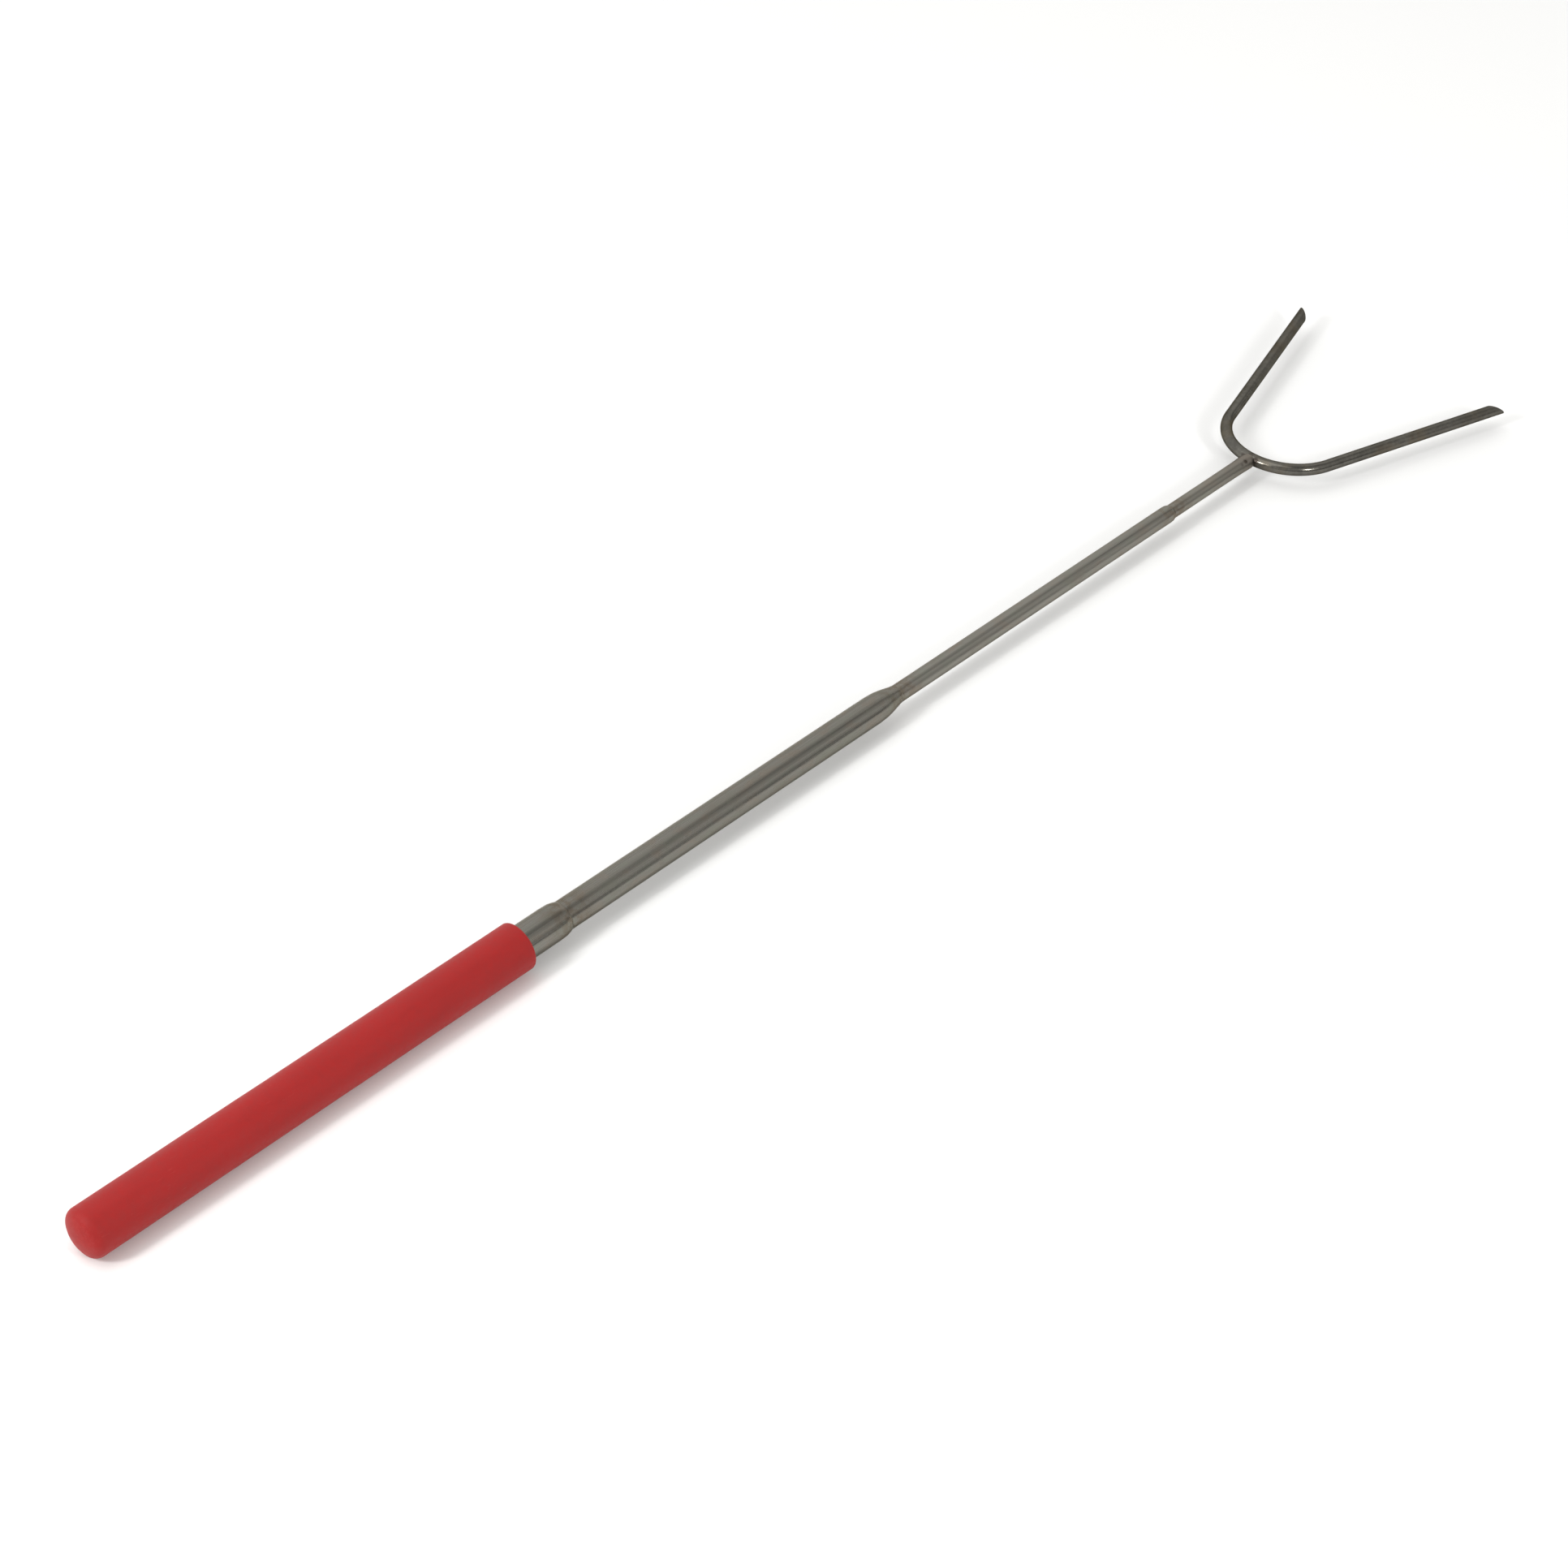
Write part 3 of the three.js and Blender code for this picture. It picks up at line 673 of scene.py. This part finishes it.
def press(v):
    r = math.hypot(v.y, v.z)
    x0, x1 = 642.5, 650.5
    if v.x > 624.0 and r > 1e-6:
        inner = r < (T4_R + T4_BORE) / 2
        # flattened a little over a long way, then closed round the rod
        k0 = smooth01((v.x - 624.0) / 25.0)
        k = smooth01((v.x - x0) / (x1 - x0))
        wide = lerp(T4_BORE, T4_BORE + 0.08, k0) if inner else lerp(T4_R, T4_R + 0.10, k0)
        high = T4_BORE if inner else T4_R
        h = lerp(high, 2.72 if inner else 3.26, k)
        w = lerp(wide, 2.96 if inner else 3.50, k)
        if v.x > 650.4 and not inner:
            # the lip is thinned towards its edge
            t = smooth01((v.x - 650.4) / (T4_LIP - 650.4))
            h -= 0.16 * t
            w -= 0.10 * t
        e = lerp(2.0, 2.25, k)
        c, s = abs(v.y / r), abs(v.z / r)
        rr = 1 / ((c / w) ** e + (s / h) ** e) ** (1 / e)
        v = Vector((v.x, rr * v.y / r, rr * v.z / r))
        if v.x > 649.0:
            # the edge is not quite square: its sides are drawn back, and it is a little ragged
            t = (v.x - 649.0) / (T4_LIP - 649.0)
            v.x -= 0.7 * t * t * (min(abs(v.y) / 3.5, 1.0)) ** 2.0
            v.x += 0.14 * t * noise.noise(Vector((7.0, v.y * 0.8, v.z * 0.8)))
    return v


def stake(v, x, tilt, rad, depth):
    """A shallow punched hollow about the pin, at the angle tilt from +Z towards -Y."""
    e = Vector((0, -math.sin(tilt), math.cos(tilt)))
    p = Vector((0, v.y, v.z))
    if p.dot(e) <= 0:
        return v
    off = p - e * p.dot(e)
    d = math.sqrt(off.length_squared + (v.x - x) ** 2)
    if d < rad:
        k = depth * (1 - smooth01(d / rad))
        v = v - e * k
    return v


def fourth_shape(v):
    v = press(v)
    v = stake(v, PIN_X, PIN_TILT, 1.7, 0.26)
    v = stake(v, PIN_X - 2.6, PIN_TILT + 0.30, 1.3, 0.10)
    d = 0.012 * noise.noise(Vector((v.x * 0.03 + 41.0, v.y * 0.5, v.z * 0.5)))
    r = max(math.hypot(v.y, v.z), 1e-6)
    s = 1 + (d - 0.006) / r
    return Vector((v.x, v.y * s, v.z * s))


t4 = split_long(fillet([
    (T4_START, 3.1), (T4_START, T4_R, 0.1), (474.7, T4_R, 0.1), (475.0, T4_R + 0.16, 0.15), (475.9, T4_R + 0.16, 0.15),
    (476.2, T4_R, 0.1), (637.0, T4_R)]), 4.0)
t4 += split_long([(637.0, T4_R), (T4_LIP - 0.12, T4_R)], 0.32)[1:]
t4 += [(T4_LIP - 0.03, T4_R - 0.05), (T4_LIP, T4_R - 0.14), (T4_LIP, T4_BORE + 0.14), (T4_LIP - 0.03, T4_BORE + 0.05)]
t4 += split_long([(T4_LIP - 0.12, T4_BORE), (637.0, T4_BORE)], 0.45)
t4 += split_long([(637.0, T4_BORE), (T4_START, T4_BORE)], 10.0)[1:] + [(T4_START, 3.1)]
fourth = revolve("fourth_tube_drawn", t4, seg=128, shape=fourth_shape)


def fork_frames(prong, half_sweep, step_line, step_arc):
    """Centre line of the rod from the left point to the right one, with in-plane outward vectors."""
    cx = ARC_BACK + ARC_R
    pts, frames = [], []
    z = Vector((0, 0, 1))

    def arc(a):
        return Vector((cx - ARC_R * math.cos(a), ARC_R * math.sin(a), 0)), Vector((-math.cos(a), math.sin(a), 0))
    p, o = arc(half_sweep)
    d = Vector((math.sin(half_sweep), math.cos(half_sweep), 0))
    k = max(1, int(math.ceil(prong / step_line))) if prong > 0 else 0
    for i in range(k):
        pts.append(p + d * prong * (1 - i / k))
        frames.append((o, z))
    m = max(2, int(math.ceil(2 * half_sweep * ARC_R / step_arc)))
    for i in range(m + 1):
        q, oo = arc(half_sweep - 2 * half_sweep * i / m)
        pts.append(q)
        frames.append((oo, z))
    p2, o2 = arc(-half_sweep)
    d2 = Vector((math.sin(half_sweep), -math.cos(half_sweep), 0))
    for i in range(1, k + 1):
        pts.append(p2 + d2 * prong * i / k)
        frames.append((o2, z))
    return pts, frames


cp, cf = fork_frames(0, math.radians(16), 1, 0.5)
cutter = sweep("rod_cutter", cp, cf, ROD_R + 0.03, seg=64)
cut_with(fourth, cutter)
e_pin = Vector((0, -math.sin(PIN_TILT), math.cos(PIN_TILT)))
side_pin = Vector((0, math.cos(PIN_TILT), math.sin(PIN_TILT)))
hole = sweep("pin_cutter", [Vector((PIN_X, 0, 0)) + e_pin * t for t in (-6, -2, 2, 6)],
             [(Vector((1, 0, 0)), side_pin)] * 4, 0.66, seg=48)
cut_with(fourth, hole)
place(fourth, "fork_stage", ["fourth_tube"], "tube_steel", M_T4)


# --------------------------------------------------------------------------
# pin, slug
# --------------------------------------------------------------------------
def pin_mesh():
    pr = fillet([(-3.16, 0.0), (-3.16, 0.45, 0.1), (-3.02, 0.645, 0.1), (2.98, 0.645, 0.1), (3.11, 0.45, 0.1), (3.11, 0.0)], 0.05)
    ob = revolve("fork_pin_staked", pr, seg=40, closed=False)
    m = Matrix.Translation(Vector((PIN_X * MM, 0, 0))) @ Matrix((e_pin, side_pin, e_pin.cross(side_pin))).transposed().to_4x4()
    ob.data.transform(m)
    return ob


place(pin_mesh(), "fork_stage", ["fork_pin"], "rod_steel", M_PIN)

slug = revolve("fork_slug_turned", fillet([
    (634.0, 0.0), (634.0, 2.3, 0.3), (634.5, 2.76, 0.3), (650.2, 2.76, 0.2), (650.2, 0.0)]), seg=64, closed=False)
hole = sweep("pin_cutter_b", [Vector((PIN_X, 0, 0)) + e_pin * t for t in (-6, -2, 2, 6)],
             [(Vector((1, 0, 0)), side_pin)] * 4, 0.64, seg=48)
cut_with(slug, hole)
place(slug, "fork_stage", ["fork_slug"], "rod_steel", M_ROD)


# --------------------------------------------------------------------------
# fork rod: bend, prongs, slanted points
# --------------------------------------------------------------------------
def fork_rod():
    seg = 64
    pts, frames = fork_frames(PRONG, math.pi / 2 - SPREAD, 2.0, 0.9)
    n = len(pts)
    dirs = {}
    a = math.pi / 2 - SPREAD
    dl = Vector((math.sin(a), math.cos(a), 0))
    dr = Vector((math.sin(a), -math.cos(a), 0))
    bm = bmesh.new()
    cot = 1 / math.tan(BEVEL)
    edge = 0.07          # rounding of the ground edge

    def ring_at(k, r=ROD_R, shift=None):
        c, (u, v) = pts[k], frames[k]
        out = []
        for i in range(seg):
            t = 2 * math.pi * i / seg
            p = c + (u * math.cos(t) + v * math.sin(t)) * r
            if shift:
                p = shift(t, p)
            out.append(p)
        return out

    def turn(d):
        # the long side of the cut lies a little above the outer side on the left prong, and below it on the right
        return math.radians(6) if d is dl else math.radians(-43)

    def cut_shift(d, back, r):
        # the angle t runs from the outer side, which carries the point, towards +Z
        def f(t, p):
            return p - d * ((ROD_R - r * math.cos(t - turn(d))) * cot + back)
        return f

    # rings that would lie beyond the slanted cut are squeezed behind it
    reach = 2 * ROD_R * cot + edge
    stations = []
    for k in range(n):
        dist_l = (pts[k] - pts[0]).length if k < n // 2 else 1e9
        dist_r = (pts[k] - pts[-1]).length if k > n // 2 else 1e9
        if k not in (0, n - 1) and min(dist_l, dist_r) < reach + 2.4:
            continue
        stations.append(k)
    rings = []
    for k in stations:
        if k in (0, n - 1):
            d = dl if k == 0 else dr
            seq = []
            # the rounded edge of the cut, then the cut itself
            for inset, back in ((0.0, 1.2), (0.03, 0.45), (0.12, 0.06), (0.26, 0.0), (ROD_R * 0.5, 0.0)):
                seq.append(ring_at(k, ROD_R - inset, cut_shift(d, edge * back, ROD_R - inset)))
            half = []
            for f in (0.33, 0.66):
                def g(t, p, d=d, f=f):
                    a0 = (ROD_R - ROD_R * math.cos(t - turn(d))) * cot + edge * 1.2
                    a1 = reach + 2.2
                    return p - d * lerp(a0, a1, f)
                half.append([p for p in ring_at(k, ROD_R, g)])
            seq = half[::-1] + seq
            if k == 0:
                seq = seq[::-1]
            rings += seq
        else:
            rings.append(ring_at(k))
    vr = [[bm.verts.new(p * MM) for p in r] for r in rings]
    for A, B in zip(vr, vr[1:]):
        for i in range(seg):
            j = (i + 1) % seg
            bm.faces.new((A[i], A[j], B[j], B[i]))
    caps = []
    for r, rev in ((vr[0], True), (vr[-1], False)):
        c = bm.verts.new(sum((v.co for v in r), Vector()) / seg)
        for i in range(seg):
            j = (i + 1) % seg
            f = bm.faces.new((c, r[j], r[i]) if rev else (c, r[i], r[j]))
            caps.append(f)
    bm.faces.ensure_lookup_table()
    bm.normal_update()
    # slot 1 on the ground faces
    up = Vector((0, 0, 1))
    ol = Vector((-dl.y, dl.x, 0)) * math.cos(turn(dl)) + up * math.sin(turn(dl))
    orr = Vector((dr.y, -dr.x, 0)) * math.cos(turn(dr)) + up * math.sin(turn(dr))
    nl = (dl * math.sin(BEVEL) - ol * math.cos(BEVEL)).normalized()
    nr = (dr * math.sin(BEVEL) - orr * math.cos(BEVEL)).normalized()
    bmesh.ops.recalc_face_normals(bm, faces=bm.faces)
    tl, tr = pts[0] * MM, pts[-1] * MM
    for f in bm.faces:
        c = f.calc_center_median()
        if (c - tl).length < 0.009 and f.normal.dot(nl) > 0.985:
            f.material_index = 1
        elif (c - tr).length < 0.009 and f.normal.dot(nr) > 0.985:
            f.material_index = 1
    return finish_mesh(bm, "fork_rod_bent", sharp=50)


place(fork_rod(), "fork_stage", ["fork_rod"], "rod_steel", M_ROD, M_GROUND)


# --------------------------------------------------------------------------
# stop rings, bush, shims
# --------------------------------------------------------------------------
def stop_ring(name, ri, ro, x0, x1, body, node):
    g = 0.35 if ro - ri > 1 else 0.07
    w = (x1 - x0)
    pr = fillet([
        (x0, (ri + ro) / 2), (x0, ro, g * 0.6), (x0 + w * 0.34, ro, g * 0.3), (x0 + w * 0.44, ro - g, g * 0.5),
        (x0 + w * 0.56, ro - g, g * 0.5), (x0 + w * 0.66, ro, g * 0.3), (x1, ro, g * 0.6), (x1, ri, g * 0.3),
        (x0, ri, g * 0.3), (x0, (ri + ro) / 2)], 0.04)
    return place(revolve(name, pr, seg=80), body, [node], "spring_brass", M_BRASS)


stop_ring("second_ring_turned", 6.205, 6.50, 200.4, 203.6, "second_stage", "second_stop_ring")
stop_ring("third_ring_turned", 3.955, 5.35, 378.4, 381.6, "third_stage", "third_stop_ring")
stop_ring("fourth_ring_turned", 3.305, 3.53, 455.4, 458.1, "fork_stage", "fourth_stop_ring")

bush = revolve("third_bush_turned", fillet([
    (382.0, 4.5), (382.0, 5.1, 0.2), (388.0, 5.1, 0.1), (388.3, 4.9, 0.1), (389.2, 4.9, 0.1), (389.5, 5.1, 0.1),
    (399.9, 5.1, 0.1), (399.9, 5.38, 0.12), (401.4, 5.38, 0.2), (401.4, 3.96, 0.2), (382.0, 3.96, 0.2), (382.0, 4.5)], 0.06), seg=80)
place(bush, "third_stage", ["third_bush"], "spring_brass", M_BRASS)


def shim(name, ri, ro, x0, x1, side, body, node):
    """Half shell of spring strip: rounded corners, two end slits, and pressed dimples that bear on the bore."""
    half = math.radians(84)
    nx, na = 40, 64
    t = ro - ri
    mid = 0.5 * math.pi if side > 0 else -0.5 * math.pi

    def outside(u, w):
        # u in -1..1 round the shell, w in 0..1 along it; True where metal is cut away
        ang = u * half * (ri + ro) / 2
        xx = w * (x1 - x0)
        L, W = x1 - x0, half * (ri + ro) / 2
        rc = 1.1
        dx, dy = min(xx, L - xx), W - abs(ang)
        if dx < rc and dy < rc and math.hypot(rc - dx, rc - dy) > rc:
            return True
        if abs(ang) < 0.28 and (xx < 3.6 or L - xx < 3.6):
            return True
        return False
    bm = bmesh.new()
    grid = {}
    for i in range(nx + 1):
        for j in range(na + 1):
            u, w = -1 + 2 * j / na, i / nx
            a = mid + u * half
            x = lerp(x0, x1, w)
            bump = 0.0
            for du in (-0.55, 0.55):
                for dw in (0.28, 0.72):
                    d = math.hypot((u - du) * half * (ri + ro) / 2, (w - dw) * (x1 - x0))
                    bump = max(bump, 0.045 * (1 - smooth01(d / 1.5)))
            for layer, rr in ((0, ri), (1, ro)):
                r = rr + bump
                grid[(i, j, layer)] = bm.verts.new(Vector((x, r * math.sin(a), r * math.cos(a))) * MM)
    solid = set()
    for i in range(nx):
        for j in range(na):
            if not outside(-1 + 2 * (j + 0.5) / na, (i + 0.5) / nx):
                solid.add((i, j))
    for i, j in solid:
        bm.faces.new([grid[(i, j, 1)], grid[(i, j + 1, 1)], grid[(i + 1, j + 1, 1)], grid[(i + 1, j, 1)]])
        bm.faces.new([grid[(i, j, 0)], grid[(i + 1, j, 0)], grid[(i + 1, j + 1, 0)], grid[(i, j + 1, 0)]])
        for (di, dj, p, q) in ((-1, 0, (i, j), (i, j + 1)), (1, 0, (i + 1, j), (i + 1, j + 1)),
                               (0, -1, (i, j), (i + 1, j)), (0, 1, (i, j + 1), (i + 1, j + 1))):
            if (i + di, j + dj) not in solid:
                bm.faces.new([grid[(*p, 0)], grid[(*q, 0)], grid[(*q, 1)], grid[(*p, 1)]])
    bmesh.ops.delete(bm, geom=[v for v in bm.verts if not v.link_faces], context="VERTS")
    ob = finish_mesh(bm, name)
    return place(ob, body, [node], "spring_brass", M_BRASS)


for stage, ri, ro, x0, x1 in (("second", 6.26, 6.50, 204.0, 220.4), ("third", 5.16, 5.40, 382.3, 399.5), ("fourth", 3.35, 3.52, 458.5, 474.4)):
    for side, word in ((1, "left"), (-1, "right")):
        shim(f"{stage}_shim_{word}_spring", ri, ro, x0, x1, side, f"{stage}_shims", f"{stage}_shim_{word}")


# --------------------------------------------------------------------------
# floor, light, camera
# --------------------------------------------------------------------------
def floor():
    me = bpy.data.meshes.new("floor")
    s, z = 6.0, CAD_LO.z - 0.0002
    me.from_pydata([(-s + 0.4, -s, z), (s + 0.4, -s, z), (s + 0.4, s, z), (-s + 0.4, s, z)], [], [(0, 1, 2, 3)])
    ob = bpy.data.objects.new("floor", me)
    bpy.context.scene.collection.objects.link(ob)
    n = Nodes("floor_paper")
    n.bsdf.inputs["Base Color"].default_value = (0.90, 0.90, 0.895, 1)
    n.bsdf.inputs["Roughness"].default_value = 0.9
    n.bsdf.inputs["Specular IOR Level"].default_value = 0.0
    # far from the tool the paper runs out into the plain white of the backdrop
    d = n.t.nodes.new("ShaderNodeVectorMath")
    d.operation = "DISTANCE"
    n.link(n.coord, d.inputs[0])
    d.inputs[1].default_value = (0.4, 0.0, z)
    far = n.remap(d.outputs["Value"], 1.1, 2.6, 0, 1, True)
    n.put(n.bsdf.inputs["Emission Strength"], far)
    n.bsdf.inputs["Emission Color"].default_value = (1, 1, 1, 1)
    me.materials.append(n.mat)
    ob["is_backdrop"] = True


def backdrop():
    """Plain white surround. Only the camera sees it: it neither lights the tool nor shows in the steel."""
    bm = bmesh.new()
    bmesh.ops.create_uvsphere(bm, u_segments=64, v_segments=32, radius=5.6)
    bmesh.ops.translate(bm, verts=bm.verts, vec=(0.4, 0, 0))
    bmesh.ops.reverse_faces(bm, faces=bm.faces)
    me = bpy.data.meshes.new("backdrop")
    bm.to_mesh(me)
    bm.free()
    ob = bpy.data.objects.new("backdrop", me)
    bpy.context.scene.collection.objects.link(ob)
    n = Nodes("backdrop_white")
    n.bsdf.inputs["Base Color"].default_value = (0, 0, 0, 1)
    n.bsdf.inputs["Specular IOR Level"].default_value = 0.0
    n.bsdf.inputs["Emission Color"].default_value = (1, 1, 1, 1)
    n.bsdf.inputs["Emission Strength"].default_value = 1.0
    me.materials.append(n.mat)
    ob.visible_diffuse = False
    ob.visible_glossy = False
    ob.visible_transmission = False
    ob.visible_volume_scatter = False
    ob.visible_shadow = False
    ob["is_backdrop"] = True


floor()
backdrop()


def area(name, loc, target, size, power, color=(1, 1, 1)):
    l = bpy.data.lights.new(name, "AREA")
    l.shape = "RECTANGLE"
    l.size, l.size_y = size
    l.energy = power
    l.color = color
    ob = bpy.data.objects.new(name, l)
    ob.location = loc
    ob.rotation_mode = "QUATERNION"
    ob.rotation_quaternion = (Vector(target) - Vector(loc)).to_track_quat("-Z", "Y")
    ob.visible_camera = False
    bpy.context.scene.collection.objects.link(ob)
    return ob


MID = Vector((0.40, 0.0, 0.0))
FORK = Vector((0.67, 0.0, 0.0))
area("overhead", MID + Vector((-0.55, 0.35, 1.9)), MID, (1.8, 1.8), 10)
area("left_box", FORK + Vector((-0.84, 0.13, 0.53)) * 1.9, FORK, (0.20, 0.36), 9)
area("right_box", FORK + Vector((-0.27, -0.80, 0.53)) * 1.9, FORK, (0.20, 0.36), 8)


def studio_world(stops, strength):
    """Long soft walls that run beside the tool: brightness by the angle about the X axis, from +Z towards -Y."""
    world = bpy.data.worlds.new("studio")
    bpy.context.scene.world = world
    world.use_nodes = True
    t = world.node_tree
    t.nodes.clear()
    out = t.nodes.new("ShaderNodeOutputWorld")
    bg = t.nodes.new("ShaderNodeBackground")
    sep = t.nodes.new("ShaderNodeSeparateXYZ")
    t.links.new(t.nodes.new("ShaderNodeTexCoord").outputs["Generated"], sep.inputs[0])
    neg = t.nodes.new("ShaderNodeMath")
    neg.operation = "MULTIPLY"
    neg.inputs[1].default_value = -1.0
    t.links.new(sep.outputs[1], neg.inputs[0])
    at = t.nodes.new("ShaderNodeMath")
    at.operation = "ARCTAN2"
    t.links.new(neg.outputs[0], at.inputs[0])
    t.links.new(sep.outputs[2], at.inputs[1])
    mr = t.nodes.new("ShaderNodeMapRange")
    mr.inputs[1].default_value, mr.inputs[2].default_value = -math.pi, math.pi
    t.links.new(at.outputs[0], mr.inputs[0])
    rp = t.nodes.new("ShaderNodeValToRGB")
    rp.color_ramp.interpolation = "B_SPLINE"
    els = rp.color_ramp.elements
    while len(els) < len(stops):
        els.new(0.5)
    for e, (deg, c) in zip(els, stops):
        e.position = (deg + 180.0) / 360.0
        e.color = (c, c * 0.995, c * 0.975, 1)
    t.links.new(mr.outputs[0], rp.inputs[0])
    t.links.new(rp.outputs[0], bg.inputs[0])
    bg.inputs[1].default_value = strength
    t.links.new(bg.outputs[0], out.inputs[0])


studio_world([(-180, 0.9), (-90, 1.02), (-56, 1.04), (-22, 1.02), (-4, 0.90), (4, 0.56), (12, 0.36), (20, 0.46), (32, 0.74),
              (50, 0.86), (66, 0.68), (75, 0.42), (84, 0.28), (98, 0.26), (120, 0.6), (180, 0.8)], 1.0)

cam_data = bpy.data.cameras.new("camera")
cam_data.lens = 76.0643
cam_data.sensor_width = 36.0
cam_data.sensor_fit = "HORIZONTAL"
cam_data.clip_start, cam_data.clip_end = 0.02, 50
cam = bpy.data.objects.new("camera", cam_data)
right = Vector((0.6890881168, -0.7241444895, 0.0277907464))
up = Vector((0.4607051740, 0.4673592250, 0.7545370087))
back = Vector((-0.5593820786, -0.5071391457, 0.6556688013))
m = Matrix((right, up, back)).transposed().to_4x4()
cam.matrix_world = Matrix.Translation(Vector((-0.3914473796, -0.6715320353, 0.8601483988))) @ m
bpy.context.scene.collection.objects.link(cam)
bpy.context.scene.camera = cam
bpy.context.scene.view_settings.view_transform = "Standard"
bpy.context.scene.view_settings.look = "None"
